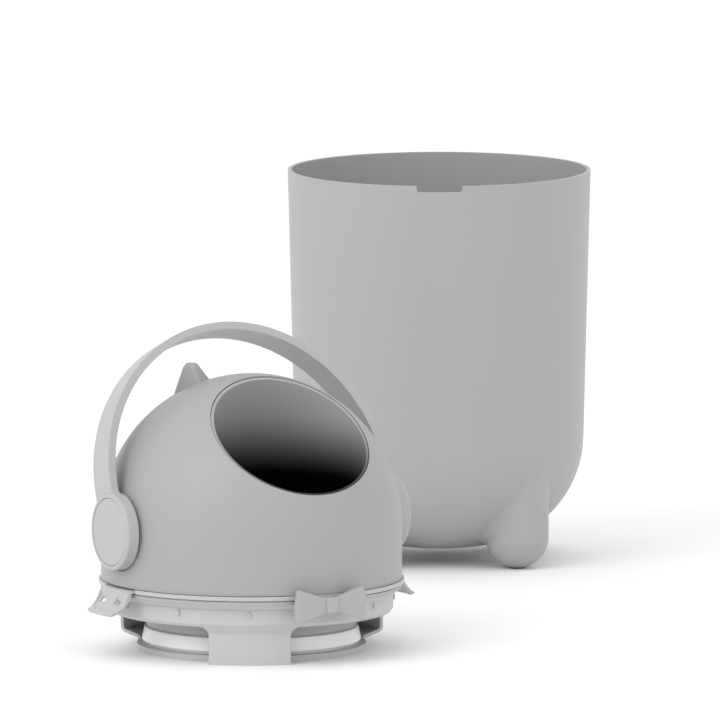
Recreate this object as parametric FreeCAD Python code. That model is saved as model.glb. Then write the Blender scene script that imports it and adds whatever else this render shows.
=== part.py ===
import FreeCAD, Part
import math
import os

V = FreeCAD.Vector
X_AXIS = V(1, 0, 0)
Z_AXIS = V(0, 0, 1)
ORIGIN = V(0, 0, 0)

# Running gap between pieces that turn or slide on each other, and the smaller one of a pin.
GAP = 0.3
PIN_GAP = 0.05

# Pail: a tapered bucket whose rounded bottom stands on four moulded feet.
RIM_R = 123.7
PAIL_H = 320.0
PAIL_WALL = 3.2
PAIL_TAPER = 1.45
BELLY_Z = 12.0
BELLY_R = 90.0
FOOT_R = 25.8
FOOT_CIRCLE_IN = 33.9
FOOT_TOP_DROP = 14.0
FOOT_BLEND_R = 7.0
FOOT_COUNT = 4
PAD_R = 6.0
PAD_H = 1.7
PAD_SEAT = 0.8
NOTCH_W = 37.0
NOTCH_DEPTH = 5.0
NOTCH_CORNER = 2.2

# Where the head unit stands, beside the pail, and how far it is turned to the right.
HEAD_DX = -151.0
HEAD_DY = -545.0
HEAD_YAW = 29.5

# Head unit: heights from the face that it stands on, and radii from its own axis.
SEAM_Z = 56.5
DOME_INSET = 3.9
DOME_WALL = 2.8
DOME_STRAIGHT = 43.0
DOME_FOOT_IN = 12.5
DOME_FOOT_H = 3.0
MOUTH_R = 66.3
MOUTH_TILT = 39.0

# Ear: a moulded three-sided peak behind and to the left of the mouth.
EAR_X = -34.1
EAR_Y = 36.6
EAR_OVER = 7.2
EAR_SINK = 34.0
EAR_SLANT = 6.0
EAR_HALF_W = 15.5
EAR_DEPTH = 9.0
EAR_FOOT_SHARE = 1.26
EAR_SHOULDER = 3.4
EAR_SHOULDER_SHARE = 0.22
EAR_TIP_SHARE = 0.04
EAR_ROUND = 3.2
EAR_TOP_ROUND = 2.6

# Mouth funnel and the soft diaphragm at its throat.
FUNNEL_WALL = 2.4
LIP_H = 3.4
LIP_SINK = 0.5
LIP_ROUND = 1.0
LIP_W = 2.0
LIP_STEP = 0.5
THROAT_INSET = 9.5
THROAT_FLANGE = 6.0
THROAT_SHOULDER = 1.6
THROAT_FLANGE_H = 4.0
THROAT_DROP = 6.0
FLOOR_H = 2.5
DIAPHRAGM_H = 1.4
DIAPHRAGM_EYE_R = 5.0
DIAPHRAGM_SLITS = 8
SLIT_W = 0.8
CLAMP_H = 2.6

# Collar that sits on the pail rim, its seal, and the ring that the dome turns on.
LEDGE_OVER = 1.8
LEDGE_H = 3.2
GROOVE_H = 0.9
GROOVE_IN = 2.5
SEAL_H = 2.6
SEAL_W = 1.8
RIM_SEAL_GAP = 0.4
COLLAR_H = 11.0
COLLAR_TAPER = 3.4
TURN_INSET = 6.8
TURN_W = 12.0
TURN_H = 4.2
SHELF_IN = 8.5
LUG_COUNT = 4
LUG_W = 10.0
LUG_H = 2.6
LUG_DEPTH = 4.0

# Cassette basket under the collar.
BASKET_WALL = 2.6
BASKET_INSET = 7.0
PILLAR_INSET = 5.8
STEP_TOP = 33.0
STEP_LOW = 25.0
WINDOW_TOP = 30.5
WINDOW_CORNER = 8.0
PILLAR_W = 65.0
PILLAR_COUNT = 3
PILLAR_FIRST = -30.0
BASE_INSET = 15.8
BASE_H = 5.0
BASE_RING_W = 17.2
TUCK_TOP = 15.0
TUCK_R = 6.0
TUCK_LOW_R = 4.0
TUCK_SLOPE = 17.0
TUCK_LAP = 0.3
FLANGE_H = 3.0
RIB_COUNT = 12
RIB_W = 2.0
RIB_H = 4.0
RIB_OUT = 1.5

# Film cassette.
CUP_INSET = 3.9
CUP_TAPER = 2.1
CUP_H = 13.3
CUP_WALL = 1.8
CUP_FLOOR = 1.8
CUP_EDGE = 3.0
CASSETTE_W = 27.3
CORE_H = 33.0
CAP_INSET = 3.3
CAP_PLATE = 2.0
FILM_EXIT = 2.8

# Carrying handle, its round ends and its pivots.
PIVOT_UP = 44.5
HANDLE_OVER = 7.8
HANDLE_UP = 42.0
HANDLE_STRAIGHT = 30.0
HANDLE_W = 27.0
HANDLE_T = 6.3
HANDLE_LEAN = 22.0
DISC_R = 30.8
DISC_OVER = 9.4
DISC_T = 10.0
DISC_EDGE = 2.0
DISC_BLEND = 9.0
FLARE_INSET = 0.2
CAP_R = 26.9
CAP_T = 3.0
CAP_SLIT = 0.25
RECESS_OVER = 1.1
RECESS_GAP = 1.2
HUB_R = 10.0
HUB_FLANGE_R = 16.0
HUB_FLANGE_T = 3.4
HUB_INSET = 5.5
WASHER_R = 15.0
WASHER_T = 1.5
POCKET_R = 16.0
SCREW_R = 2.9
SCREW_HEAD_R = 5.5
SCREW_HEAD_T = 1.6

# Side latches: flared tabs that swing on a pin behind the ledge.
TAB_W = 46.0
TAB_T = 2.6
TAB_SLIT = 0.7
TAB_REACH = 16.8
TAB_DROP = 17.6
TAB_BORDER = 2.6
TAB_SINK = 1.0
TAB_SINK_IN = 1.4
TAB_BOW = 1.7
TAB_LIP_R = 1.7
TAB_CORNER = 9.0
TAB_CHAMFER = 0.8
TAB_TOP_DROP = 0.9
BAND_IN = 3.7
SLOT_W = 8.5
SLOT_H = 3.6
SLOT_OUT = 6.2
SLOT_X = 11.4
LATCH_PIN_R = 0.75
LATCH_PIN_HOLD = 3.2
LATCH_PIN_IN = 4.4
LATCH_PIN_DOWN = 2.1
KNUCKLE_R = 1.4
POCKET_IN = 6.3

# Bow latch in front of the collar.
BOW_W = 61.0
BOW_H = 27.6
BOW_T = 6.6
BOW_GAP = 0.6
BOW_Z = 49.0
BOW_WAIST_H = 11.0
KNOT_W = 10.5
KNOT_H = 12.6
KNOT_OUT = 2.2
BOW_EDGE = 1.1
NECK_W = 25.0
NECK_H = 3.3
BOW_PIN_R = 1.1
BOW_PIN_L = 34.4
BOW_PIN_IN = 6.7
BOW_LUG_T = 6.0
BOW_LUG_OUT = 2.0
BOW_LUG_UNDER = 1.4
NECK_ROOM = 3.4
NECK_DROP = 1.1

# Small fasteners.
SMALL_SCREW_R = 1.5
SMALL_HEAD_R = 2.9
SMALL_HEAD_T = 1.7
SMALL_SCREW_L = 7.0
SMALL_SCREW_COUNT = 6

# Sizes that follow from the ones above, out from the pail's rim to the throat.
FOOT_CIRCLE_R = RIM_R - FOOT_CIRCLE_IN
FOOT_TOP_Z = BELLY_Z + BELLY_R - FOOT_TOP_DROP
DOME_R = RIM_R - DOME_INSET
TURN_R = DOME_R - TURN_INSET
FLOOR_R = TURN_R
BASKET_R = DOME_R - BASKET_INSET
PILLAR_R = BASKET_R - PILLAR_INSET
BASE_R = PILLAR_R - BASE_INSET
BASE_HOLE_R = BASE_R - BASE_RING_W
CUP_R = BASE_R - CUP_INSET
CORE_R = CUP_R - CASSETTE_W
THROAT_R = CORE_R - THROAT_INSET
EAR_TOP = DOME_R + EAR_OVER
HANDLE_U = DOME_R + HANDLE_OVER
HANDLE_RISE = DOME_R + HANDLE_UP
DISC_FACE = DOME_R + DISC_OVER
BOW_BACK = RIM_R + BOW_GAP
BOW_PIN_AT = BOW_BACK - BOW_PIN_IN
DOME_C = SEAM_Z + DOME_STRAIGHT
DOME_IN = DOME_R - DOME_WALL
DOME_EDGE_Z = SEAM_Z + GAP
MOUTH_DIR = V(0, -math.sin(math.radians(MOUTH_TILT)), math.cos(math.radians(MOUTH_TILT)))
FLOOR_Z = DOME_EDGE_Z + DOME_FOOT_H
LEDGE_R = DOME_R + LEDGE_OVER
LEDGE_Z = SEAM_Z - LEDGE_H
SEAT_TOP = LEDGE_Z - GROOVE_H
SEAT_LOW = SEAT_TOP - SEAL_H
SEAL_R = RIM_R - PAIL_WALL - RIM_SEAL_GAP
SEAT_R = SEAL_R - SEAL_W
COLLAR_Z = SEAM_Z - COLLAR_H
TURN_Z = DOME_EDGE_Z - TURN_H
TURN_IN = TURN_R - TURN_W
SHELF_R = TURN_R - SHELF_IN
PIVOT_Z = SEAM_Z + PIVOT_UP
DISC_BACK = DISC_FACE - DISC_T
HUB_BACK = DOME_IN - HUB_INSET
WASHER_X = DISC_FACE - CAP_T - SCREW_HEAD_T - WASHER_T - GAP
CLAMP_Z = FLOOR_Z - THROAT_DROP - THROAT_FLANGE_H - DIAPHRAGM_H
NECK_Z = LEDGE_Z - NECK_DROP - NECK_H
BOW_PIN_Z = NECK_Z + NECK_H / 2
CUP_Z = BASE_H
CUP_TOP = CUP_Z + CUP_H
CORE_TOP = CUP_Z + CORE_H


def turned(points):
    """A solid of revolution about Z from (radius, height) points."""
    pts = [V(r, 0, z) for r, z in points]
    pts.append(pts[0])
    return Part.Face(Part.makePolygon(pts)).revolve(ORIGIN, Z_AXIS, 360)


def tube(r_out, r_in, z0, z1):
    ring = Part.makeCylinder(r_out, z1 - z0, V(0, 0, z0))
    return ring.cut(Part.makeCylinder(r_in, z1 - z0 + 2, V(0, 0, z0 - 1)))


def rod(radius, start, end):
    """A round bar between two points."""
    return Part.makeCylinder(radius, (end - start).Length, start, end - start)


def around(shape, count, first=0.0):
    """Copies of a shape evenly spaced about Z."""
    copies = []
    for i in range(count):
        copy = shape.copy()
        copy.rotate(ORIGIN, Z_AXIS, first + i * 360.0 / count)
        copies.append(copy)
    return copies


def group(solids):
    return Part.makeCompound(solids)


def mirrored(shape):
    """The copy on the other side of the head's middle plane."""
    return shape.mirror(ORIGIN, X_AXIS)


def fuse_all(shapes):
    return shapes[0].fuse(shapes[1:]).removeSplitter()


def rounded(shape, radius, wanted):
    """Round the edges that the test picks, all together."""
    return shape.makeFillet(radius, [e for e in shape.Edges if wanted(e)])


def solid_of(shape):
    """The single solid in a result, without its wrapper."""
    return shape.Solids[0]


def belly(inset):
    """Bucket form: flat bottom, one wide arc and a tapered wall, drawn in by a wall."""
    taper = math.radians(PAIL_TAPER)
    centre_z = BELLY_Z + BELLY_R
    wall_z = centre_z - BELLY_R * math.sin(taper)
    flare = (PAIL_H - wall_z) * math.tan(taper)
    centre = V(RIM_R - flare - BELLY_R * math.cos(taper), 0, centre_z)

    def on(angle):
        return centre + V(math.cos(angle), 0, -math.sin(angle)) * (BELLY_R - inset)

    bottom = on(math.pi / 2)
    wall = on(taper)
    top_z = PAIL_H + inset
    top = V(wall.x + (top_z - wall.z) * math.tan(taper), 0, top_z)
    edges = [
        Part.LineSegment(V(0, 0, bottom.z), bottom),
        Part.Arc(bottom, on((taper + math.pi / 2) / 2), wall),
        Part.LineSegment(wall, top),
        Part.LineSegment(top, V(0, 0, top_z)),
        Part.LineSegment(V(0, 0, top_z), V(0, 0, bottom.z)),
    ]
    wire = Part.Wire([e.toShape() for e in edges])
    return solid_of(Part.Face(wire).revolve(ORIGIN, Z_AXIS, 360))


def foot_form(inset):
    """One foot: an upright bar with a ball end, cut flat where its pad sits."""
    radius = FOOT_R - inset
    bar = Part.makeCylinder(radius, FOOT_TOP_Z - FOOT_R, V(FOOT_CIRCLE_R, 0, FOOT_R))
    ball = Part.makeSphere(radius, V(FOOT_CIRCLE_R, 0, FOOT_R))
    flat = PAD_SEAT + inset
    cut = Part.makeBox(4 * FOOT_R, 4 * FOOT_R, 2 * FOOT_R, V(FOOT_CIRCLE_R - 2 * FOOT_R, -2 * FOOT_R, flat - 2 * FOOT_R))
    return bar.fuse(ball).cut(cut)


def notch_form():
    """The gap in the rim that the neck of the bow drops into."""
    depth = 4 * PAIL_WALL
    box = Part.makeBox(NOTCH_W, depth, 2 * NOTCH_DEPTH, V(-NOTCH_W / 2, -RIM_R - depth / 2, PAIL_H - NOTCH_DEPTH))
    low = PAIL_H - NOTCH_DEPTH
    return rounded(box, NOTCH_CORNER, lambda e: abs(e.CenterOfMass.z - low) < 0.01 and abs(e.tangentAt(0).y) > 0.9)


def pail():
    outer = fuse_all([belly(0)] + around(foot_form(0), FOOT_COUNT, 45))
    crease = [e for e in outer.Edges if is_foot_crease(e)]
    outer = outer.makeFillet(FOOT_BLEND_R, crease)
    hollow = fuse_all([belly(PAIL_WALL)] + around(foot_form(PAIL_WALL), FOOT_COUNT, 45))
    body = outer.cut(hollow).cut(notch_form())
    pad = Part.makeCylinder(PAD_R, PAD_H, V(FOOT_CIRCLE_R, 0, 0))
    seats = around(Part.makeCylinder(PAD_R, PAD_H, V(FOOT_CIRCLE_R, 0, 0)), FOOT_COUNT, 45)
    for seat in seats:
        body = body.cut(seat)
    return {"pail_body": solid_of(body), "foot_pads": group(around(pad, FOOT_COUNT, 45))}


def is_foot_crease(edge):
    """True for the line where a foot runs into the rounded bottom."""
    box = edge.BoundBox
    return box.ZMax > FOOT_R + 1 and box.ZMax < FOOT_TOP_Z and box.ZLength > 1 and edge.Length > FOOT_R


def mouth_tool(radius, low, high):
    """A cylinder along the mouth's direction, between two distances from the dome's centre."""
    centre = V(0, 0, DOME_C)
    return rod(radius, centre + MOUTH_DIR * low, centre + MOUTH_DIR * high)


def ear():
    """Rounded three-sided peak, drawn straight up for the mould."""
    top = DOME_C + EAR_TOP
    base = top - EAR_SINK
    yaw = -HEAD_YAW

    def section(share, z, shift):
        corners = [(-EAR_HALF_W, EAR_DEPTH * 0.6), (EAR_HALF_W * 0.32, -EAR_DEPTH), (EAR_HALF_W, EAR_DEPTH)]
        pts = [V(shift + x * share, y * share, z) for x, y in corners]
        return Part.makePolygon(pts + [pts[0]]).makeOffset2D(EAR_ROUND)

    levels = [section(EAR_FOOT_SHARE, base, EAR_SLANT), section(EAR_SHOULDER_SHARE, top - EAR_SHOULDER, 0)]
    form = Part.makeLoft(levels + [section(EAR_TIP_SHARE, top, 0)], True, True)
    form = rounded(form, EAR_TOP_ROUND, lambda e: e.BoundBox.ZMin > top - 0.01)
    form.rotate(ORIGIN, Z_AXIS, yaw)
    form.translate(V(EAR_X, EAR_Y, 0))
    return form


def dome_solid(radius, low):
    """Straight band with a ball cap, as a full solid."""
    band = Part.makeCylinder(radius, DOME_C - low, V(0, 0, low))
    return band.fuse(Part.makeSphere(radius, V(0, 0, DOME_C), Z_AXIS, 0, 90, 360)).removeSplitter()


def dome():
    shell = dome_solid(DOME_R, DOME_EDGE_Z)
    bosses = [rod(HUB_FLANGE_R + 2, V(s * (HUB_BACK), 0, PIVOT_Z), V(s * (DOME_R - 2), 0, PIVOT_Z)) for s in (-1, 1)]
    hollow = dome_solid(DOME_IN, FLOOR_Z)
    for boss in bosses:
        hollow = hollow.cut(boss)
    shell = shell.fuse(ear()).removeSplitter()
    shell = shell.cut(hollow)
    shell = shell.cut(Part.makeCylinder(DOME_IN - DOME_FOOT_IN, 2 * DOME_FOOT_H, V(0, 0, DOME_EDGE_Z - DOME_FOOT_H)))
    shell = shell.cut(mouth_tool(MOUTH_R, 0, 2 * DOME_R))
    for s in (-1, 1):
        recess = rod(DISC_R + RECESS_OVER, V(s * (DISC_BACK - RECESS_GAP), 0, PIVOT_Z), V(s * 2 * DOME_R, 0, PIVOT_Z))
        bore = rod(HUB_R, V(s * DOME_R / 2, 0, PIVOT_Z), V(s * 2 * DOME_R, 0, PIVOT_Z))
        shell = shell.cut(recess).cut(bore)
    for notch in around(turn_lug(GAP, 2 * DOME_FOOT_H), LUG_COUNT, 45):
        shell = shell.cut(notch)
    return solid_of(shell)


def turn_lug(clear, height):
    """A driving lug on the turn ring, or with a clearance its notch in the dome's foot."""
    inner = DOME_IN - DOME_FOOT_IN - clear
    size = V(LUG_DEPTH + 2 * clear, LUG_W + 2 * clear, height)
    return Part.makeBox(size.x, size.y, size.z, V(inner, -size.y / 2, DOME_EDGE_Z))


def funnel():
    """The lip and skewed cone in one moulding, and the floor plate with its throat in another."""
    centre = V(0, 0, DOME_C)
    lip_top = math.sqrt(DOME_IN ** 2 - MOUTH_R ** 2)
    lip_face = math.sqrt(DOME_R ** 2 - MOUTH_R ** 2) - LIP_SINK
    lip_r = MOUTH_R - GAP
    bore_r = lip_r - LIP_W
    low = FLOOR_Z - THROAT_DROP - THROAT_FLANGE_H

    def ring(radius, along):
        wire = Part.Wire([Part.makeCircle(radius)])
        wire.rotate(ORIGIN, X_AXIS, MOUTH_TILT)
        wire.translate(centre + MOUTH_DIR * along)
        return wire

    def throat(radius, z):
        return Part.Wire([Part.makeCircle(radius, V(0, 0, z))])

    outer = [ring(lip_r - LIP_STEP, lip_top - LIP_ROUND), throat(THROAT_R + FUNNEL_WALL, FLOOR_Z)]
    inner = [ring(bore_r, lip_face + LIP_H), throat(THROAT_R, FLOOR_Z), throat(THROAT_R, low - 1)]
    cone = Part.makeLoft(outer, True, True)
    bore = Part.makeLoft(inner, True, True)
    lip = mouth_tool(lip_r, lip_top - LIP_H, lip_face)
    rim_edge = lip_face - LIP_ROUND / 10
    lip = rounded(lip, LIP_ROUND, lambda e: e.CenterOfMass.sub(centre).dot(MOUTH_DIR) > rim_edge and e.Length > MOUTH_R)
    chute = fuse_all([cone, lip])
    floor = Part.makeCylinder(FLOOR_R, FLOOR_H, V(0, 0, FLOOR_Z)).cut(chute)
    neck = Part.makeCylinder(THROAT_R + FUNNEL_WALL + THROAT_SHOULDER, FLOOR_Z - low, V(0, 0, low))
    flange = Part.makeCylinder(THROAT_R + THROAT_FLANGE, THROAT_FLANGE_H, V(0, 0, low))
    plate = fuse_all([floor, neck, flange]).cut(bore)
    return {"mouth_funnel": solid_of(chute.cut(bore)), "funnel_floor": solid_of(plate)}


def diaphragm():
    """Soft disc with slits that opens for a nappy and closes behind it."""
    disc = Part.makeCylinder(THROAT_R + THROAT_FLANGE, DIAPHRAGM_H, V(0, 0, CLAMP_Z))
    disc = disc.cut(Part.makeCylinder(DIAPHRAGM_EYE_R, 3 * DIAPHRAGM_H, V(0, 0, CLAMP_Z - DIAPHRAGM_H)))
    slit = Part.makeBox(THROAT_R - 2, SLIT_W, 3 * DIAPHRAGM_H, V(0, -SLIT_W / 2, CLAMP_Z - DIAPHRAGM_H))
    for tool in around(slit, DIAPHRAGM_SLITS):
        disc = disc.cut(tool)
    return disc


def small_screws(circle_r, head_z, count, first, up=1):
    """Equal pan-head screws on a circle, pointing up from their heads."""
    head = Part.makeCylinder(SMALL_HEAD_R, SMALL_HEAD_T, V(circle_r, 0, head_z - SMALL_HEAD_T))
    shank = Part.makeCylinder(SMALL_SCREW_R, SMALL_SCREW_L, V(circle_r, 0, head_z))
    return around(head.fuse(shank).removeSplitter(), count, first)


def cut_shanks(shape, screws):
    for screw in screws:
        shape = shape.cut(screw)
    return shape


def collar():
    ring = turned([
        (SHELF_R, COLLAR_Z), (SEAT_R - COLLAR_TAPER, COLLAR_Z), (SEAT_R, SEAT_LOW), (SEAT_R, SEAT_TOP),
        (LEDGE_R - GROOVE_IN, SEAT_TOP), (LEDGE_R - GROOVE_IN, LEDGE_Z), (LEDGE_R, LEDGE_Z), (LEDGE_R, SEAM_Z),
        (TURN_R + GAP, SEAM_Z), (TURN_R + GAP, TURN_Z), (SHELF_R, TURN_Z),
    ])
    half = TAB_W / 2 + TAB_SLIT
    pocket = Part.makeBox(4 * POCKET_IN, 2 * half, 2 * COLLAR_H, V(LEDGE_R - POCKET_IN, -half, SEAT_TOP))
    ring = ring.cut(pocket).cut(mirrored(pocket)).cut(latch_pin()).cut(mirrored(latch_pin()))
    low = NECK_Z - BOW_LUG_UNDER
    height = LEDGE_Z - low
    lug = Part.makeBox(BOW_PIN_L, BOW_LUG_T, height, V(-BOW_PIN_L / 2, -BOW_PIN_AT - BOW_LUG_OUT, low))
    lug = lug.common(Part.makeCylinder(SEAL_R, height, V(0, 0, low)))
    half = NECK_W / 2 + GAP
    neck_pocket = Part.makeBox(2 * half, NECK_W, height, V(-half, -BOW_PIN_AT - NECK_W + NECK_ROOM, low))
    return solid_of(ring.fuse(lug).removeSplitter().cut(neck_pocket).cut(bow_pin()))


def latch_pin():
    half = V(0, TAB_W / 2 + TAB_SLIT + LATCH_PIN_HOLD, 0)
    centre = V(LEDGE_R - LATCH_PIN_IN, 0, SEAM_Z - LATCH_PIN_DOWN)
    return rod(LATCH_PIN_R, centre - half, centre + half)


def bent(start, end, bow):
    """Arc between two points, bowed to the left of the way from start to end."""
    chord = end - start
    side = V(-chord.z, 0, chord.x).normalize()
    return Part.Arc(start, (start + end) * 0.5 + side * bow, end).toShape()


def latch():
    """Flared tab that follows the ledge: top band, concave plate, rounded lip and two slots."""
    top_z = SEAM_Z - TAB_TOP_DROP
    tip = V(LEDGE_R + TAB_REACH, 0, top_z - TAB_DROP)
    over = RIM_R + GAP
    pts = [
        V(LEDGE_R - BAND_IN, 0, LEDGE_Z + GAP), V(LEDGE_R - BAND_IN, 0, top_z), V(over - TAB_CHAMFER, 0, top_z),
        V(over + TAB_T * 1.4, 0, top_z - TAB_T * 1.6), tip, tip + V(-TAB_T * 0.5, 0, -TAB_T * 0.85),
        V(over, 0, LEDGE_Z - TAB_T), V(over, 0, LEDGE_Z + GAP),
    ]
    edges = [Part.LineSegment(pts[i], pts[i + 1]).toShape() for i in (0, 1, 4, 6)]
    edges.append(Part.LineSegment(pts[7], pts[0]).toShape())
    edges += [bent(pts[2], pts[3], TAB_BOW * 0.3), bent(pts[3], pts[4], -TAB_BOW), bent(pts[5], pts[6], TAB_BOW * 0.7)]
    face = Part.Face(Part.Wire(Part.__sortEdges__(edges)))
    face.rotate(ORIGIN, Z_AXIS, -20)
    plate = solid_of(face.revolve(ORIGIN, Z_AXIS, 40))
    middle = (pts[4] + pts[5]) * 0.5
    lip = Part.makeTorus(middle.x, TAB_LIP_R, V(0, 0, middle.z))
    low = middle.z - TAB_LIP_R
    outline = Part.makeBox(2 * TAB_W, TAB_W, TAB_W, V(LEDGE_R - TAB_W, -TAB_W / 2, low))
    outline = rounded(outline, TAB_CORNER, lambda e: abs(e.CenterOfMass.z - low) < 0.01 and abs(e.tangentAt(0).x) > 0.9)
    body = plate.fuse(lip).common(outline)
    chord = (tip - pts[3]).normalize()
    sink = plate.copy()
    sink.translate(V(-chord.z, 0, chord.x) * (TAB_T - TAB_SINK))
    field_w = TAB_W - 2 * TAB_BORDER
    field_low = low + TAB_BORDER + TAB_LIP_R
    field = Part.makeBox(TAB_W, field_w, SEAM_Z - field_low, V(over + TAB_SINK_IN, -field_w / 2, field_low))
    corner = TAB_CORNER - TAB_BORDER
    field = rounded(field, corner, lambda e: abs(e.CenterOfMass.z - field_low) < 0.01 and abs(e.tangentAt(0).x) > 0.9)
    body = body.cut(sink.common(field))
    pin = V(LEDGE_R - LATCH_PIN_IN, 0, SEAM_Z - LATCH_PIN_DOWN)
    side = V(0, TAB_W / 2, 0)
    body = body.fuse(rod(KNUCKLE_R, pin - side, pin + side)).removeSplitter()
    body = body.cut(rod(LATCH_PIN_R + PIN_GAP, pin - side * 2, pin + side * 2))
    for s in (1, -1):
        body = body.cut(Part.makeBox(SLOT_H, SLOT_W, 2 * SEAM_Z, V(LEDGE_R + SLOT_OUT - SLOT_H / 2, s * SLOT_X - SLOT_W / 2, 0)))
    return solid_of(body)


def bow_pin():
    half = V(BOW_PIN_L / 2, 0, 0)
    centre = V(0, -BOW_PIN_AT, BOW_PIN_Z)
    return rod(BOW_PIN_R, centre - half, centre + half)


def bow():
    """Bow-shaped front latch: two wings, a knot and the neck that pivots in the collar."""
    hw = BOW_W / 2
    hh = BOW_H / 2
    waist = BOW_WAIST_H / 2
    inner = KNOT_W / 2 - 1
    wings = []
    for s in (1, -1):
        pts = [V(s * x, -BOW_BACK, BOW_Z + z) for x, z in ((inner, waist), (hw - 1.5, hh), (hw, -hh), (inner, -waist))]
        top = Part.LineSegment(pts[0], pts[1]).toShape()
        bulge = (pts[1] + pts[2]) * 0.5 + V(s * 1.6, 0, 0)
        side = Part.Arc(pts[1], bulge, pts[2]).toShape()
        low = Part.LineSegment(pts[2], pts[3]).toShape()
        back = Part.LineSegment(pts[3], pts[0]).toShape()
        wing = solid_of(Part.Face(Part.Wire([top, side, low, back])).extrude(V(0, -BOW_T, 0)))
        wings.append(wing.makeFillet(BOW_EDGE, wing.Edges))
    knot = Part.makeBox(KNOT_W, BOW_T + KNOT_OUT, KNOT_H, V(-KNOT_W / 2, -BOW_BACK - BOW_T - KNOT_OUT, BOW_Z - KNOT_H / 2))
    knot = knot.makeFillet(1.9, [e for e in knot.Edges if e.CenterOfMass.y < -BOW_BACK - 1])
    neck = Part.makeBox(NECK_W, BOW_BACK - BOW_PIN_AT + 1, NECK_H, V(-NECK_W / 2, -BOW_BACK - 1, NECK_Z))
    barrel_r = NECK_H / 2
    barrel = rod(barrel_r, V(-NECK_W / 2, -BOW_PIN_AT, BOW_PIN_Z), V(NECK_W / 2, -BOW_PIN_AT, BOW_PIN_Z))
    body = fuse_all(wings + [knot, neck, barrel])
    body = body.cut(rod(BOW_PIN_R + PIN_GAP, V(-BOW_W, -BOW_PIN_AT, BOW_PIN_Z), V(BOW_W, -BOW_PIN_AT, BOW_PIN_Z)))
    return solid_of(body)


def rim_seal():
    """Soft bead round the collar, open where the neck of the bow passes."""
    ring = tube(SEAL_R, SEAT_R, SEAT_LOW, SEAT_TOP)
    half = BOW_PIN_L / 2 + GAP
    return solid_of(ring.cut(Part.makeBox(2 * half, 2 * half, 2 * half, V(-half, -SEAL_R - half, SEAT_LOW - half))))


def turn_ring():
    ring = tube(TURN_R, TURN_IN, TURN_Z, DOME_EDGE_Z)
    lugs = around(turn_lug(0, LUG_H), LUG_COUNT, 45)
    return solid_of(fuse_all([ring] + lugs))


def pillar_face(half_w, top, corner):
    """A pillar's outline, flaring into the skirt at the window corners, as a radial block."""
    pts = [V(0, -half_w, 0), V(0, -half_w, top - corner), V(0, -half_w - corner, top), V(0, half_w + corner, top),
           V(0, half_w, top - corner), V(0, half_w, 0)]
    bend = corner * (1 - math.sqrt(0.5))
    edges = [
        Part.LineSegment(pts[0], pts[1]).toShape(),
        Part.Arc(pts[1], V(0, -half_w - bend, top - bend), pts[2]).toShape(),
        Part.LineSegment(pts[2], pts[3]).toShape(),
        Part.Arc(pts[3], V(0, half_w + bend, top - bend), pts[4]).toShape(),
        Part.LineSegment(pts[4], pts[5]).toShape(),
        Part.LineSegment(pts[5], pts[0]).toShape(),
    ]
    return solid_of(Part.Face(Part.Wire(edges)).extrude(V(2 * BASKET_R, 0, 0)))


def tuck(offset):
    """Edges down a rear pillar's curled foot, drawn in from its outer face, and their two ends."""
    turn = math.radians(90 - TUCK_SLOPE)
    along = V(-math.sin(turn), 0, -math.cos(turn))
    out = V(math.cos(turn), 0, -math.sin(turn))
    half = V(math.cos(turn / 2), 0, -math.sin(turn / 2))
    bends = (TUCK_R + TUCK_LOW_R) * (1 - math.cos(turn))
    reach = (PILLAR_R - BASE_R + TUCK_LAP - bends) / math.sin(turn)
    first = V(PILLAR_R - TUCK_R, 0, TUCK_TOP)
    second = first + out * (TUCK_R + TUCK_LOW_R) + along * reach
    start = first + X_AXIS * (TUCK_R - offset)
    bend = first + out * (TUCK_R - offset)
    back = second - out * (TUCK_LOW_R + offset)
    end = second - X_AXIS * (TUCK_LOW_R + offset)
    edges = [
        Part.Arc(start, first + half * (TUCK_R - offset), bend).toShape(),
        Part.LineSegment(bend, back).toShape(),
        Part.Arc(back, second - half * (TUCK_LOW_R + offset), end).toShape(),
    ]
    return edges, start, end


def tucked_wall():
    """The curled foot as a full ring."""
    outer, out_start, out_end = tuck(0)
    inner, in_start, in_end = tuck(BASKET_WALL)
    edges = outer + inner + [Part.LineSegment(out_start, in_start).toShape(), Part.LineSegment(out_end, in_end).toShape()]
    face = Part.Face(Part.Wire(Part.__sortEdges__(edges)))
    return solid_of(face.revolve(ORIGIN, Z_AXIS, 360))


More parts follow.
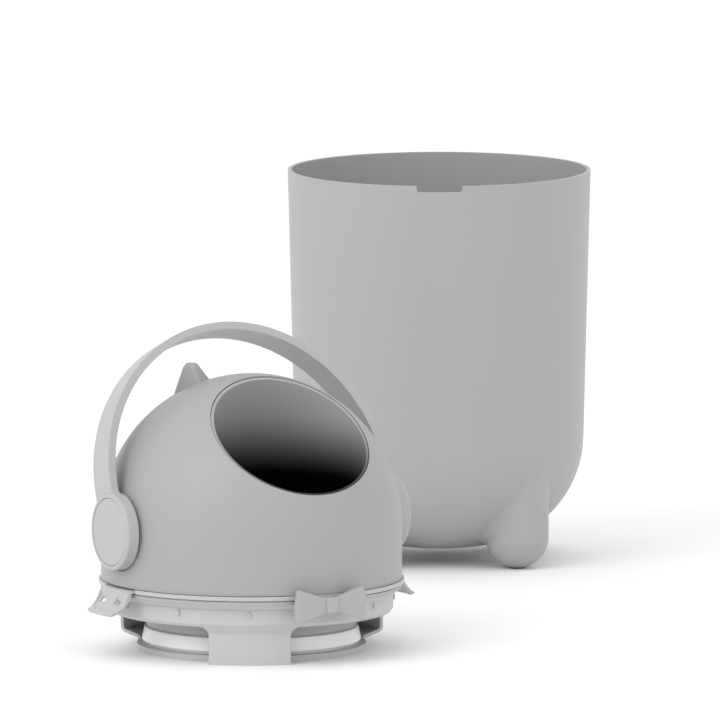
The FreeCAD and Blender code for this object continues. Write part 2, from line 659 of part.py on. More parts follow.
def basket():
    wall = BASKET_WALL
    shell = solid_of(turned([
        (BASKET_R, COLLAR_Z), (BASKET_R, STEP_TOP), (PILLAR_R, STEP_LOW), (PILLAR_R, 0), (PILLAR_R - wall, 0),
        (PILLAR_R - wall, STEP_LOW - 1), (BASKET_R - wall, STEP_TOP - 1), (BASKET_R - wall, COLLAR_Z - FLANGE_H),
        (SHELF_R, COLLAR_Z - FLANGE_H), (SHELF_R, COLLAR_Z),
    ]))
    skirt = shell.common(Part.makeCylinder(2 * BASKET_R, COLLAR_Z, V(0, 0, WINDOW_TOP)))
    angles = PILLAR_FIRST - 90
    places = around(pillar_face(PILLAR_W / 2, WINDOW_TOP, WINDOW_CORNER), PILLAR_COUNT, angles)
    upper = shell.common(Part.makeCylinder(2 * BASKET_R, COLLAR_Z, V(0, 0, TUCK_TOP)))
    curled = upper.fuse(tucked_wall())
    pillars = [places[0].common(shell)] + [p.common(curled) for p in places[1:]]
    plate = Part.makeCylinder(BASE_R, BASE_H)
    lobe = Part.makeBox(PILLAR_R, PILLAR_W, BASE_H, V(0, -PILLAR_W / 2, 0)).common(Part.makeCylinder(PILLAR_R, BASE_H))
    plate = fuse_all([plate] + around(lobe, 1, angles))
    plate = plate.cut(Part.makeCylinder(BASE_HOLE_R, 3 * BASE_H, V(0, 0, -BASE_H)))
    ribs = around(Part.makeBox(RIB_OUT + 1, RIB_W, RIB_H, V(BASKET_R - 1, -RIB_W / 2, COLLAR_Z - 2.6 - RIB_H)), RIB_COUNT)
    return solid_of(fuse_all([skirt] + pillars + [plate] + ribs))


def cassette():
    """White cup with its core, the grey cap over it and the pleated film between them."""
    top_r = CUP_R - CUP_TAPER
    cup = turned([
        (CORE_R, CUP_Z), (CUP_R - CUP_EDGE, CUP_Z), (CUP_R, CUP_Z + CUP_EDGE), (top_r, CUP_TOP),
        (top_r - CUP_WALL, CUP_TOP), (CUP_R - CUP_WALL, CUP_Z + CUP_EDGE), (CUP_R - CUP_EDGE - 1, CUP_Z + CUP_FLOOR),
        (CORE_R + CUP_WALL, CUP_Z + CUP_FLOOR), (CORE_R + CUP_WALL, CORE_TOP), (CORE_R, CORE_TOP),
    ])
    cap_r = CUP_R - CAP_INSET
    eye = CORE_R + CUP_WALL + FILM_EXIT
    cap = turned([
        (cap_r, CUP_TOP + 1), (cap_r, CORE_TOP + CAP_PLATE), (eye, CORE_TOP + CAP_PLATE), (eye, CORE_TOP),
        (cap_r - CUP_WALL, CORE_TOP), (cap_r - CUP_WALL, CUP_TOP), (top_r - 0.4, CUP_TOP), (top_r - 0.4, CUP_TOP + 1),
    ])
    film = tube(cap_r - CUP_WALL - GAP, CORE_R + CUP_WALL + GAP, CUP_Z + CUP_FLOOR, CORE_TOP - 1)
    return {"cassette_cup": solid_of(cup), "cassette_cap": solid_of(cap), "film_pack": solid_of(film)}


def arch(offset):
    """Half of the handle's outline, inward by an offset: upright leg, then a quarter ellipse."""
    rise = HANDLE_RISE - HANDLE_STRAIGHT - offset
    span = HANDLE_U - offset
    ellipse = Part.Ellipse(V(0, 0, 0), max(rise, span), min(rise, span))
    curve = Part.ArcOfEllipse(ellipse, 0, math.pi / 2).toShape()
    turn = FreeCAD.Matrix()
    turn.rotateX(math.pi / 2)
    curve = curve.transformGeometry(turn)
    if rise > span:
        curve.rotate(ORIGIN, V(0, 1, 0), -90)
        curve = curve.mirror(ORIGIN, X_AXIS)
    curve.translate(V(0, 0, HANDLE_STRAIGHT))
    return curve


def half_band():
    """The right half of the band, from the pivot's level to its crown."""
    def ends(curve):
        a, b = curve.Vertexes[0].Point, curve.Vertexes[-1].Point
        return (a, b) if a.z < b.z else (b, a)

    outer, inner = arch(0), arch(HANDLE_T)
    out_low, out_top = ends(outer)
    in_low, in_top = ends(inner)
    leg_out, leg_in = V(out_low.x, 0, 0), V(in_low.x, 0, 0)
    edges = [outer, Part.LineSegment(out_top, in_top).toShape(), inner]
    edges += [Part.LineSegment(in_low, leg_in).toShape(), Part.LineSegment(leg_in, leg_out).toShape(),
              Part.LineSegment(leg_out, out_low).toShape()]
    face = Part.Face(Part.Wire(Part.__sortEdges__(edges)))
    face.translate(V(0, -HANDLE_W / 2, 0))
    return solid_of(face.extrude(V(0, HANDLE_W, 0)))


def half_handle():
    """One leg with its round end, bored for the pivot and pocketed for the cap."""
    disc = rod(DISC_R, V(DISC_BACK, 0, 0), V(DISC_FACE, 0, 0))
    disc = rounded(disc, DISC_EDGE, lambda e: abs(e.CenterOfMass.x - DISC_FACE) < 0.01 and e.Length > DISC_R * 3)
    body = half_band().fuse([disc, leg_flare()])
    body = body.cut(rod(CAP_R + CAP_SLIT, V(DISC_FACE - CAP_T, 0, 0), V(DISC_FACE + 5, 0, 0)))
    body = body.cut(rod(POCKET_R, V(WASHER_X, 0, 0), V(DISC_FACE, 0, 0)))
    return body.cut(rod(HUB_R + PIN_GAP, V(0, 0, 0), V(DISC_FACE, 0, 0)))


def leg_flare():
    """Hollow corners between a leg and its disc, tangent to both."""
    y = HANDLE_W / 2 + DISC_BLEND
    z = math.sqrt((DISC_R + DISC_BLEND) ** 2 - y ** 2)
    share = DISC_R / (DISC_R + DISC_BLEND)
    x = HANDLE_U - HANDLE_T + FLARE_INSET
    corners = [(0, 0), (y * share, z * share), (y, z), (-y, z), (-y * share, z * share), (0, 0)]
    web = Part.Face(Part.makePolygon([V(x, a, b) for a, b in corners]))
    web = web.extrude(V(HANDLE_T - 2 * FLARE_INSET, 0, 0))
    for s in (1, -1):
        web = web.cut(rod(DISC_BLEND, V(x - 1, s * y, z), V(HANDLE_U + 1, s * y, z)))
    return web


def leaned(shape):
    """From the upright pose in the pivot's own frame to the rest pose on the head."""
    copy = shape.copy()
    copy.rotate(ORIGIN, X_AXIS, -HANDLE_LEAN)
    copy.translate(V(0, 0, PIVOT_Z))
    return copy


def handle():
    half = half_handle()
    whole = half.fuse(mirrored(half)).removeSplitter()
    cap = rod(CAP_R, V(DISC_FACE - CAP_T, 0, 0), V(DISC_FACE, 0, 0))
    cap = rounded(cap, 0.8, lambda e: abs(e.CenterOfMass.x - DISC_FACE) < 0.01)
    return {
        "handle_band": solid_of(leaned(whole)),
        "handle_cap_right": leaned(cap),
        "handle_cap_left": leaned(mirrored(cap)),
    }


def pivot():
    """Hub through the dome wall, washer and screw of the right pivot."""
    flange = rod(HUB_FLANGE_R, V(HUB_BACK - HUB_FLANGE_T, 0, 0), V(HUB_BACK, 0, 0))
    spigot = rod(HUB_R, V(HUB_BACK, 0, 0), V(WASHER_X, 0, 0))
    head_x = WASHER_X + WASHER_T
    screw = rod(SCREW_R, V(HUB_BACK, 0, 0), V(head_x, 0, 0))
    head = rod(SCREW_HEAD_R, V(head_x, 0, 0), V(head_x + SCREW_HEAD_T, 0, 0))
    washer = rod(WASHER_R, V(WASHER_X, 0, 0), V(head_x, 0, 0)).cut(rod(SCREW_R, ORIGIN, V(DISC_FACE, 0, 0)))
    parts = {
        "pivot_hub": flange.fuse(spigot).cut(screw).removeSplitter(),
        "pivot_washer": washer,
        "pivot_screw": screw.fuse(head).removeSplitter(),
    }
    placed = {}
    for name, shape in parts.items():
        for side, form in (("right", shape), ("left", mirrored(shape))):
            copy = form.copy()
            copy.translate(V(0, 0, PIVOT_Z))
            placed[name + "_" + side] = copy
    return placed


def head():
    nodes = {"dome_shell": dome(), "odour_diaphragm": diaphragm()}
    nodes.update(funnel())
    ring_r = THROAT_R + THROAT_FLANGE
    nodes["diaphragm_ring"] = tube(ring_r, THROAT_R, CLAMP_Z - CLAMP_H, CLAMP_Z)
    ring_screws = small_screws(THROAT_R + THROAT_FLANGE / 2, CLAMP_Z - CLAMP_H, SMALL_SCREW_COUNT, 22.5)
    nodes["diaphragm_screws"] = group(ring_screws)
    floor_screws = small_screws(FLOOR_R - 4, FLOOR_Z + FLOOR_H, SMALL_SCREW_COUNT, 30)
    for screw in floor_screws:
        screw.rotate(V(0, 0, FLOOR_Z + FLOOR_H), X_AXIS, 180)
    nodes["floor_screws"] = group([s.common(Part.makeCylinder(DOME_R, DOME_R, V(0, 0, DOME_EDGE_Z + GAP))) for s in floor_screws])
    nodes["collar_ring"] = collar()
    nodes["rim_seal"] = rim_seal()
    nodes["turn_ring"] = turn_ring()
    nodes["cassette_basket"] = basket()
    basket_screws = small_screws(SHELF_R + 3.4, COLLAR_Z - FLANGE_H, SMALL_SCREW_COUNT, 0)
    nodes["basket_screws"] = group(basket_screws)
    nodes.update(cassette())
    nodes.update(handle())
    nodes.update(pivot())
    nodes["latch_right"] = latch()
    nodes["latch_left"] = mirrored(nodes["latch_right"])
    nodes["latch_pin_right"] = latch_pin()
    nodes["latch_pin_left"] = mirrored(latch_pin())
    nodes["bow_latch"] = bow()
    nodes["bow_pin"] = bow_pin()
    for name in ("funnel_floor", "odour_diaphragm", "diaphragm_ring"):
        nodes[name] = cut_shanks(nodes[name], ring_screws)
    for name in ("funnel_floor", "dome_shell"):
        nodes[name] = cut_shanks(nodes[name], nodes["floor_screws"].Solids)
    for name in ("collar_ring", "cassette_basket"):
        nodes[name] = cut_shanks(nodes[name], basket_screws)
    return nodes


def assembled():
    """All nodes in the part's frame, which has its origin under the middle of the whole."""
    nodes = pail()
    for name, shape in head().items():
        shape.rotate(ORIGIN, Z_AXIS, HEAD_YAW)
        shape.translate(V(HEAD_DX, HEAD_DY, 0))
        nodes[name] = shape
    box = group(list(nodes.values())).optimalBoundingBox(False, False)
    middle = V((box.XMin + box.XMax) / 2, (box.YMin + box.YMax) / 2, box.ZMin)
    for shape in nodes.values():
        shape.translate(-middle)
    return nodes, -middle


NODES, PAIL_PLACE = assembled()
os.makedirs("parts", exist_ok=True)
for node, shape in NODES.items():
    shape.exportStep("parts/" + node + ".step")
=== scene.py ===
import math

import bmesh
import bpy
from mathutils import Matrix, Vector


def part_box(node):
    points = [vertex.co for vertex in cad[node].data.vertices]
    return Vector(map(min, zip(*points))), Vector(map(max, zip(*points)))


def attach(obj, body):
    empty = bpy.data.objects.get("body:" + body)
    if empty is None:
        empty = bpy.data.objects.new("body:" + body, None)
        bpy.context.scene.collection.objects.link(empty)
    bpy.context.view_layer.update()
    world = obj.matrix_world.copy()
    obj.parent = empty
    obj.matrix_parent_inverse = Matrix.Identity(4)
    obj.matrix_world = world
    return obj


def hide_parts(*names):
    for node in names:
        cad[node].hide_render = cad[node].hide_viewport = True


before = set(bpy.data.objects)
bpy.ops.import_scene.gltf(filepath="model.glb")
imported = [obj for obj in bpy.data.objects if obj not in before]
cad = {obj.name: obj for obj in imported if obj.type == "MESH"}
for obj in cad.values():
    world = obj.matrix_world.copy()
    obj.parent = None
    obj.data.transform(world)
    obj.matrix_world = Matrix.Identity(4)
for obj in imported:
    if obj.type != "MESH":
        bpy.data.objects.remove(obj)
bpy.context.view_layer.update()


# The pail: one deep injection moulding in satin polypropylene, with four hollow feet drawn out
# of its rounded bottom. The mould is finely spark-eroded, so light spreads softly over the wall,
# and its edges and corners get a painted highlight, a slightly brighter line in their colour.
SHELL_TONE = 0.375
EDGE_WIDTH = 0.0007
PAINTED_EDGE_HIGHLIGHT = 0.16
GRAIN_SCALE = 2600.0
GRAIN_DEPTH = 0.00002
CLOUD_SCALE = 9.0


def plastic(name, tone, rough, grain=0.12, edge=PAINTED_EDGE_HIGHLIGHT, tint=(1.0, 1.0, 1.0)):
    """Moulded plastic: near-even colour, fine eroded grain, uneven gloss and a painted highlight on soft edges."""
    mat = bpy.data.materials.new(name)
    mat.use_nodes = True
    nodes = mat.node_tree.nodes
    links = mat.node_tree.links
    shader = nodes["Principled BSDF"]
    place = nodes.new("ShaderNodeTexCoord")
    cloud = nodes.new("ShaderNodeTexNoise")
    cloud.inputs["Scale"].default_value = CLOUD_SCALE
    cloud.inputs["Detail"].default_value = 3.0
    links.new(place.outputs["Object"], cloud.inputs["Vector"])
    colour = nodes.new("ShaderNodeMix")
    colour.data_type = "RGBA"
    colour.inputs[6].default_value = [tone * 0.98 * t for t in tint] + [1.0]
    colour.inputs[7].default_value = [tone * 1.02 * t for t in tint] + [1.0]
    links.new(cloud.outputs["Fac"], colour.inputs[0])
    soft = nodes.new("ShaderNodeBevel")
    soft.samples = 4
    soft.inputs["Radius"].default_value = EDGE_WIDTH
    # Painted highlight: where the bevelled normal turns from the true one, at edges and corners, the colour is mixed
    # towards white.
    true = nodes.new("ShaderNodeNewGeometry")
    match = nodes.new("ShaderNodeVectorMath")
    match.operation = "DOT_PRODUCT"
    links.new(soft.outputs["Normal"], match.inputs[0])
    links.new(true.outputs["Normal"], match.inputs[1])
    painted_edge_highlight = nodes.new("ShaderNodeMapRange")
    painted_edge_highlight.inputs["From Min"].default_value = 1.0
    painted_edge_highlight.inputs["From Max"].default_value = 0.8
    painted_edge_highlight.inputs["To Min"].default_value = 0.0
    painted_edge_highlight.inputs["To Max"].default_value = edge
    links.new(match.outputs["Value"], painted_edge_highlight.inputs["Value"])
    lit = nodes.new("ShaderNodeMix")
    lit.data_type = "RGBA"
    lit.inputs[7].default_value = (1.0, 1.0, 1.0, 1.0)
    links.new(painted_edge_highlight.outputs["Result"], lit.inputs[0])
    links.new(colour.outputs[2], lit.inputs[6])
    links.new(lit.outputs[2], shader.inputs["Base Color"])
    gloss = nodes.new("ShaderNodeMapRange")
    gloss.inputs["To Min"].default_value = rough - 0.04
    gloss.inputs["To Max"].default_value = rough + 0.04
    links.new(cloud.outputs["Fac"], gloss.inputs["Value"])
    links.new(gloss.outputs["Result"], shader.inputs["Roughness"])
    fine = nodes.new("ShaderNodeTexNoise")
    fine.inputs["Scale"].default_value = GRAIN_SCALE
    fine.inputs["Detail"].default_value = 1.0
    links.new(place.outputs["Object"], fine.inputs["Vector"])
    bump = nodes.new("ShaderNodeBump")
    bump.inputs["Strength"].default_value = grain
    bump.inputs["Distance"].default_value = GRAIN_DEPTH
    links.new(fine.outputs["Fac"], bump.inputs["Height"])
    links.new(soft.outputs["Normal"], bump.inputs["Normal"])
    links.new(bump.outputs["Normal"], shader.inputs["Normal"])
    return mat


def finish_in(mat, *names):
    """Gives CAD nodes a finish in place of their plain one."""
    for name in names:
        mesh = cad[name].data
        mesh.materials.clear()
        mesh.materials.append(mat)


shell_grey = plastic("satin shell grey", SHELL_TONE, 0.44)
finish_in(shell_grey, "pail_body")


# Foot pads: four soft black rubber discs, pressed into the flats of the feet.
# The same black material also serves as painted shade on the diaphragm at the bottom of the throat.
black_rubber_and_painted_shade = plastic("black rubber", 0.014, 0.68, 0.3, 0.02)
finish_in(black_rubber_and_painted_shade, "foot_pads")


# The collar: ledge ring in a slightly lighter satin grey, its soft seal bead under the ledge,
# and the ring above it that the dome turns on. The ring is snapped in and can't be seen.
trim_grey = plastic("satin trim grey", 0.465, 0.42)
seal_grey = plastic("soft seal grey", 0.415, 0.60, 0.2, 0.05)
finish_in(trim_grey, "collar_ring", "turn_ring")
finish_in(seal_grey, "rim_seal")


# The cassette basket: skirt, one straight and two curled pillars and the base ring, moulded in
# one piece of the palest grey and screwed to the collar from below.
basket_grey = plastic("satin basket grey", 0.490, 0.45)
finish_in(basket_grey, "cassette_basket")


# The film cassette: a white glossy cup and core, with a grey cap resting on the cup's edge.
white = plastic("cassette white", 0.940, 0.30, 0.06, 0.0, (1.0, 1.0, 0.99))
cap_grey = plastic("cassette cap grey", 0.440, 0.45)
finish_in(white, "cassette_cup")
finish_in(cap_grey, "cassette_cap")


# The film: metres of thin tube pushed together into pleats round the core. A rippled ring,
# made by a node group from the space between cup and cap; translucent white polythene.
film_low, film_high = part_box("film_pack")
film_axis = (film_low + film_high) / 2
FILM_CORE_R = 0.0623
FILM_PLEATS = 26
FILM_DEPTH = 0.0011
FILM_SEGMENTS = 128


def new_group(name, sockets):
    """An empty node group with a geometry output and named inputs."""
    tree = bpy.data.node_groups.new(name, "GeometryNodeTree")
    tree.interface.new_socket("Geometry", in_out="INPUT", socket_type="NodeSocketGeometry")
    for label, kind, value in sockets:
        socket = tree.interface.new_socket(label, in_out="INPUT", socket_type="NodeSocket" + kind)
        if value is not None:
            socket.default_value = value
    tree.interface.new_socket("Geometry", in_out="OUTPUT", socket_type="NodeSocketGeometry")
    return tree, tree.nodes.new("NodeGroupInput"), tree.nodes.new("NodeGroupOutput")


def maths(tree, operation, *values):
    """A math node fed with sockets or plain numbers; gives its output."""
    node = tree.nodes.new("ShaderNodeMath")
    node.operation = operation
    for i, value in enumerate(values):
        if isinstance(value, bpy.types.NodeSocket):
            tree.links.new(value, node.inputs[i])
        else:
            node.inputs[i].default_value = value
    return node.outputs[0]


def grown(name, mesh, tree, mat):
    """The object that a node group makes from a mesh, with the modifier gone."""
    source = bpy.data.objects.new(name + "_source", mesh)
    bpy.context.scene.collection.objects.link(source)
    modifier = source.modifiers.new("grow", "NODES")
    modifier.node_group = tree
    for item in tree.interface.items_tree:
        if item.in_out == "INPUT" and item.socket_type == "NodeSocketMaterial":
            modifier[item.identifier] = mat
    bpy.context.view_layer.update()
    made = bpy.data.meshes.new_from_object(source.evaluated_get(bpy.context.evaluated_depsgraph_get()))
    bpy.data.objects.remove(source)
    piece = bpy.data.objects.new(name, made)
    bpy.context.scene.collection.objects.link(piece)
    return piece


def pleated_ring(inner_r, outer_r, low_z, high_z, pleats, depth, segments):
    """Node group: a closed ring whose inner and outer faces ripple from top to bottom."""
    tree, given, result = new_group("pleated ring", [
        ("Inner radius", "Float", inner_r), ("Outer radius", "Float", outer_r), ("Low", "Float", low_z),
        ("High", "Float", high_z), ("Pleats", "Int", pleats), ("Depth", "Float", depth),
        ("Segments", "Int", segments), ("Material", "Material", None),
    ])
    links = tree.links
    side = maths(tree, "MULTIPLY", given.outputs["Pleats"], 2.0)
    points = maths(tree, "MULTIPLY", side, 2.0)
    outline = tree.nodes.new("GeometryNodeCurvePrimitiveCircle")
    links.new(points, outline.inputs["Resolution"])
    index = tree.nodes.new("GeometryNodeInputIndex").outputs[0]
    back = maths(tree, "GREATER_THAN", index, maths(tree, "SUBTRACT", side, 0.5))
    step = maths(tree, "SUBTRACT", index, maths(tree, "MULTIPLY", back, side))
    share = maths(tree, "DIVIDE", step, maths(tree, "SUBTRACT", side, 1.0))
    climb = maths(tree, "ABSOLUTE", maths(tree, "SUBTRACT", share, back))
    height = maths(tree, "SUBTRACT", given.outputs["High"], given.outputs["Low"])
    z = maths(tree, "ADD", given.outputs["Low"], maths(tree, "MULTIPLY", climb, height))
    width = maths(tree, "SUBTRACT", given.outputs["Outer radius"], given.outputs["Inner radius"])
    fold = maths(tree, "MULTIPLY", maths(tree, "MODULO", index, 2.0), given.outputs["Depth"])
    sign = maths(tree, "SUBTRACT", maths(tree, "MULTIPLY", back, 2.0), 1.0)
    half = maths(tree, "SUBTRACT", maths(tree, "MULTIPLY", width, 0.5), fold)
    x = maths(tree, "MULTIPLY", sign, half)
    joined = tree.nodes.new("ShaderNodeCombineXYZ")
    links.new(x, joined.inputs["X"])
    links.new(maths(tree, "MULTIPLY", z, -1.0), joined.inputs["Y"])
    move = tree.nodes.new("GeometryNodeSetPosition")
    links.new(outline.outputs["Curve"], move.inputs["Geometry"])
    links.new(joined.outputs["Vector"], move.inputs["Position"])
    path = tree.nodes.new("GeometryNodeCurvePrimitiveCircle")
    links.new(given.outputs["Segments"], path.inputs["Resolution"])
    middle = maths(tree, "ADD", given.outputs["Inner radius"], maths(tree, "MULTIPLY", width, 0.5))
    links.new(middle, path.inputs["Radius"])
    sweep = tree.nodes.new("GeometryNodeCurveToMesh")
    links.new(path.outputs["Curve"], sweep.inputs["Curve"])
    links.new(move.outputs["Geometry"], sweep.inputs["Profile Curve"])
    paint = tree.nodes.new("GeometryNodeSetMaterial")
    links.new(sweep.outputs["Mesh"], paint.inputs["Geometry"])
    links.new(given.outputs["Material"], paint.inputs["Material"])
    links.new(paint.outputs["Geometry"], result.inputs["Geometry"])
    return tree


film = plastic("polythene film", 0.78, 0.25, 0.2, 0.0)
film.node_tree.nodes["Principled BSDF"].inputs["Transmission Weight"].default_value = 0.25
film_tree = pleated_ring(FILM_CORE_R, (film_high.x - film_low.x) / 2, film_low.z, film_high.z, FILM_PLEATS, FILM_DEPTH,
                         FILM_SEGMENTS)
film_ring = grown("film_pleats", bpy.data.meshes.new("film start"), film_tree, film)
film_ring.data.transform(Matrix.Translation((film_axis.x, film_axis.y, 0)))
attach(film_ring, "collar")
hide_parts("film_pack")


# The dome: ball-topped cover with the straight band below and the three-sided ear, one moulding
# in the same satin grey as the pail, here darkened to 0.93 of the pail's tone as painted shade.
dome_grey_painted_shade = plastic("satin dome grey, painted shade", SHELL_TONE * 0.93, 0.50)
finish_in(dome_grey_painted_shade, "dome_shell")


# The mouth funnel: polished inside so that bags and nappies slide; its colour carries painted shade
# that darkens it to near black down the throat. Screwed to the dome's foot.
THROAT_SHADE_DARK_Z = 0.135
THROAT_SHADE_CLEAR_Z = 0.190
funnel_grey_with_painted_shade = plastic("polished funnel grey with painted throat shade", 0.36, 0.20, 0.04)
tree = funnel_grey_with_painted_shade.node_tree
# Painted shade: the base colour is multiplied darker with falling height, to near black deep in the throat.
split = tree.nodes.new("ShaderNodeSeparateXYZ")
spot = tree.nodes.new("ShaderNodeTexCoord")
throat_shade_ramp = tree.nodes.new("ShaderNodeMapRange")
throat_shade_ramp.interpolation_type = "SMOOTHSTEP"
throat_shade_ramp.inputs["From Min"].default_value = THROAT_SHADE_DARK_Z
throat_shade_ramp.inputs["From Max"].default_value = THROAT_SHADE_CLEAR_Z
throat_shade_ramp.inputs["To Min"].default_value = 0.005
throat_shade_ramp.inputs["To Max"].default_value = 1.0
painted_throat_shade = tree.nodes.new("ShaderNodeMix")
painted_throat_shade.data_type = "RGBA"
painted_throat_shade.blend_type = "MULTIPLY"
painted_throat_shade.inputs[0].default_value = 1.0
shader = tree.nodes["Principled BSDF"]
painted = shader.inputs["Base Color"].links[0].from_socket
tree.links.new(spot.outputs["Object"], split.inputs["Vector"])
tree.links.new(split.outputs["Z"], throat_shade_ramp.inputs["Value"])
tree.links.new(painted, painted_throat_shade.inputs[6])
tree.links.new(throat_shade_ramp.outputs["Result"], painted_throat_shade.inputs[7])
tree.links.new(painted_throat_shade.outputs[2], shader.inputs["Base Color"])
finish_in(funnel_grey_with_painted_shade, "mouth_funnel", "funnel_floor")


# The diaphragm: soft disc with eight slits that opens for a nappy and closes behind it, clamped
# under the throat by a grey ring; its black is painted shade that makes the throat's bottom dark.
finish_in(black_rubber_and_painted_shade, "odour_diaphragm")
finish_in(trim_grey, "diaphragm_ring")


# The handle: one moulded band that ends in two round discs, each closed by a flat cap that is
# pushed into its recess.
handle_grey = plastic("satin handle grey", 0.422, 0.40)
finish_in(handle_grey, "handle_band", "handle_cap_left", "handle_cap_right")


# The pivots: a plastic hub through the dome wall on each side, held by a zinc-plated screw and
# washer under the cap.
steel = plastic("zinc plate", 0.62, 0.30, 0.05, 0.1)
steel.node_tree.nodes["Principled BSDF"].inputs["Metallic"].default_value = 1.0
finish_in(trim_grey, "pivot_hub_left", "pivot_hub_right")
finish_in(steel, "pivot_screw_left", "pivot_screw_right", "pivot_washer_left", "pivot_washer_right")


# The side latches: thin flared tabs with a raised border and two slots, each on a steel pin.
finish_in(trim_grey, "latch_left", "latch_right")
finish_in(steel, "latch_pin_left", "latch_pin_right")


# The bow latch: two wings and a knot in one moulding, on its own pin in the collar.
bow_grey = plastic("satin bow grey", 0.385, 0.42)
finish_in(bow_grey, "bow_latch")
finish_in(steel, "bow_pin")


# The small screws: zinc-plated pan heads with a cross recess and a coarse thread, six in the
# basket, six in the clamp ring and six in the funnel's floor. One screw is modelled and a node
# group sets it round each circle.
HEAD_YAW = math.radians(29.5)
SCREW_SIDES = 24
SCREW_COUNT = 6
HEAD_R = 0.0029
HEAD_H = 0.0017
SHANK_R = 0.0015
THREAD_PITCH = 0.0009
THREAD_DEPTH = 0.00022
CROSS_OUT = 0.0015
CROSS_IN = 0.0005
CROSS_DEEP = 0.0011


def screw_mesh(length):
    """A pan-head screw whose head is below z = 0 and whose threaded shank points up."""
    def even(radius, z):
        return [Vector((radius * math.cos(a), radius * math.sin(a), z)) for a in angles]

    def cross(z):
        radii = [CROSS_OUT if i % 6 in (5, 0, 1) else CROSS_IN for i in range(SCREW_SIDES)]
        return [Vector((r * math.cos(a), r * math.sin(a), z)) for r, a in zip(radii, angles)]

    angles = [2 * math.pi * i / SCREW_SIDES for i in range(SCREW_SIDES)]
    rings = [cross(-HEAD_H + CROSS_DEEP), cross(-HEAD_H), even(HEAD_R * 0.72, -HEAD_H), even(HEAD_R * 0.92, -HEAD_H * 0.72),
             even(HEAD_R, -HEAD_H * 0.3), even(HEAD_R, 0), even(SHANK_R, 0)]
    z = THREAD_PITCH / 2
    while z < length - THREAD_PITCH:
        rings += [even(SHANK_R - THREAD_DEPTH, z), even(SHANK_R, z + THREAD_PITCH / 2)]
        z += THREAD_PITCH
    rings.append(even(SHANK_R * 0.6, length))
    form = bmesh.new()
    loops = [[form.verts.new(p) for p in ring] for ring in rings]
    for low_loop, high_loop in zip(loops, loops[1:]):
        for i in range(SCREW_SIDES):
            j = (i + 1) % SCREW_SIDES
            form.faces.new((low_loop[i], low_loop[j], high_loop[j], high_loop[i]))
    form.faces.new(loops[0])
    form.faces.new(loops[-1])
    bmesh.ops.recalc_face_normals(form, faces=form.faces)
    mesh = bpy.data.meshes.new("one screw")
    form.to_mesh(mesh)
    form.free()
    return mesh


def ring_of_copies(radius, count, first, height, flip):
    """Node group: sets the given piece at even steps round a circle."""
    tree, given, result = new_group("ring of copies", [
        ("Radius", "Float", radius), ("Count", "Int", count), ("First angle", "Float", first), ("Height", "Float", height),
        ("Tilt", "Float", math.pi if flip else 0.0), ("Material", "Material", None),
    ])
    links = tree.links
    circle = tree.nodes.new("GeometryNodeMeshCircle")
    links.new(given.outputs["Count"], circle.inputs["Vertices"])
    links.new(given.outputs["Radius"], circle.inputs["Radius"])
    turn = tree.nodes.new("ShaderNodeCombineXYZ")
    links.new(given.outputs["First angle"], turn.inputs["Z"])
    lift = tree.nodes.new("ShaderNodeCombineXYZ")
    links.new(given.outputs["Height"], lift.inputs["Z"])
    placed = tree.nodes.new("GeometryNodeTransform")
    links.new(circle.outputs["Mesh"], placed.inputs["Geometry"])
    links.new(turn.outputs["Vector"], placed.inputs["Rotation"])
    links.new(lift.outputs["Vector"], placed.inputs["Translation"])
    tilt = tree.nodes.new("ShaderNodeCombineXYZ")
    links.new(given.outputs["Tilt"], tilt.inputs["X"])
    copies = tree.nodes.new("GeometryNodeInstanceOnPoints")
    links.new(placed.outputs["Geometry"], copies.inputs["Points"])
    links.new(given.outputs["Geometry"], copies.inputs["Instance"])
    links.new(tilt.outputs["Vector"], copies.inputs["Rotation"])
    real = tree.nodes.new("GeometryNodeRealizeInstances")
    links.new(copies.outputs["Instances"], real.inputs["Geometry"])
    paint = tree.nodes.new("GeometryNodeSetMaterial")
    links.new(real.outputs["Geometry"], paint.inputs["Geometry"])
    links.new(given.outputs["Material"], paint.inputs["Material"])
    links.new(paint.outputs["Geometry"], result.inputs["Geometry"])
    return tree


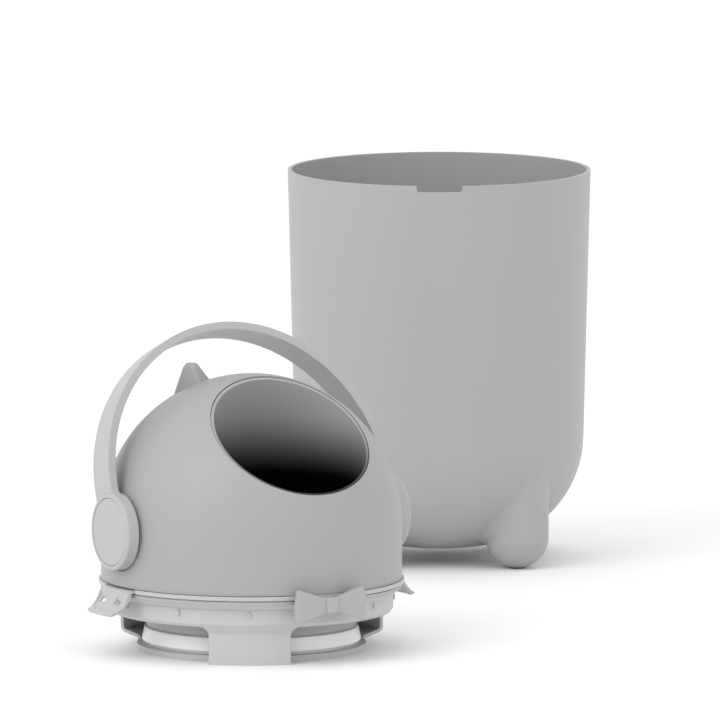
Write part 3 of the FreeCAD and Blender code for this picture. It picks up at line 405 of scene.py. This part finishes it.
ring_low, ring_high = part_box("turn_ring")
head_axis = (ring_low + ring_high) / 2
screw_sets = (
    ("basket_screw_set", "basket_screws", "collar", 0.1079, 0.0, False),
    ("diaphragm_screw_set", "diaphragm_screws", "dome", 0.0535, 22.5, False),
    ("floor_screw_set", "floor_screws", "dome", 0.1090, 30.0, True),
)
for name, node, body, radius, first, flip in screw_sets:
    low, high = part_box(node)
    seat = high.z - HEAD_H if flip else low.z + HEAD_H
    length = high.z - low.z - HEAD_H
    tree = ring_of_copies(radius, SCREW_COUNT, HEAD_YAW + math.radians(first), seat, flip)
    screws = grown(name, screw_mesh(length), tree, steel)
    for vertex in screws.data.vertices:
        vertex.co += Vector((head_axis.x, head_axis.y, 0))
    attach(screws, body)
    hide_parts(node)


# The setting: a pale floor that runs far back, wide soft lights and the long-lens view.
VIEW_FROM = Vector((-0.0646, -20.0, 2.64905))
VIEW_PITCH = 7.086
VIEW_LENS = 1232.94
WORLD_LIGHT = 1.05
KEY_WATTS = 32.0

pail_low, pail_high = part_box("pail_body")
pail_axis = Vector(((pail_low.x + pail_high.x) / 2, (pail_low.y + pail_high.y) / 2, 0))

bpy.ops.mesh.primitive_plane_add(size=80.0, location=(0, 8.0, 0))
floor = bpy.context.object
floor.name = "floor"
floor_mat = bpy.data.materials.new("pale floor")
floor_mat.use_nodes = True
floor_mat.node_tree.nodes["Principled BSDF"].inputs["Base Color"].default_value = (0.96, 0.96, 0.96, 1)
floor_mat.node_tree.nodes["Principled BSDF"].inputs["Roughness"].default_value = 0.9
floor.data.materials.append(floor_mat)

camera_data = bpy.data.cameras.new("view")
camera_data.lens = VIEW_LENS
camera_data.sensor_width = 36.0
camera_data.clip_end = 200.0
camera = bpy.data.objects.new("view", camera_data)
camera.location = pail_axis + VIEW_FROM
camera.rotation_euler = (math.radians(90 - VIEW_PITCH), 0, 0)
bpy.context.scene.collection.objects.link(camera)
bpy.context.scene.camera = camera
bpy.context.scene.view_settings.view_transform = "Standard"


def soft_light(name, place, target, size, watts):
    data = bpy.data.lights.new(name, "AREA")
    data.shape = "SQUARE"
    data.size = size
    data.energy = watts
    light = bpy.data.objects.new(name, data)
    light.location = place
    light.rotation_euler = (Vector(target) - Vector(place)).to_track_quat("-Z", "Y").to_euler()
    bpy.context.scene.collection.objects.link(light)
    return light


soft_light("key", (-1.9, -2.0, 2.4), (0, 0, 0.15), 2.0, KEY_WATTS)

world = bpy.data.worlds.new("studio")
world.use_nodes = True
world.node_tree.nodes["Background"].inputs["Color"].default_value = (1, 1, 1, 1)
world.node_tree.nodes["Background"].inputs["Strength"].default_value = WORLD_LIGHT
bpy.context.scene.world = world
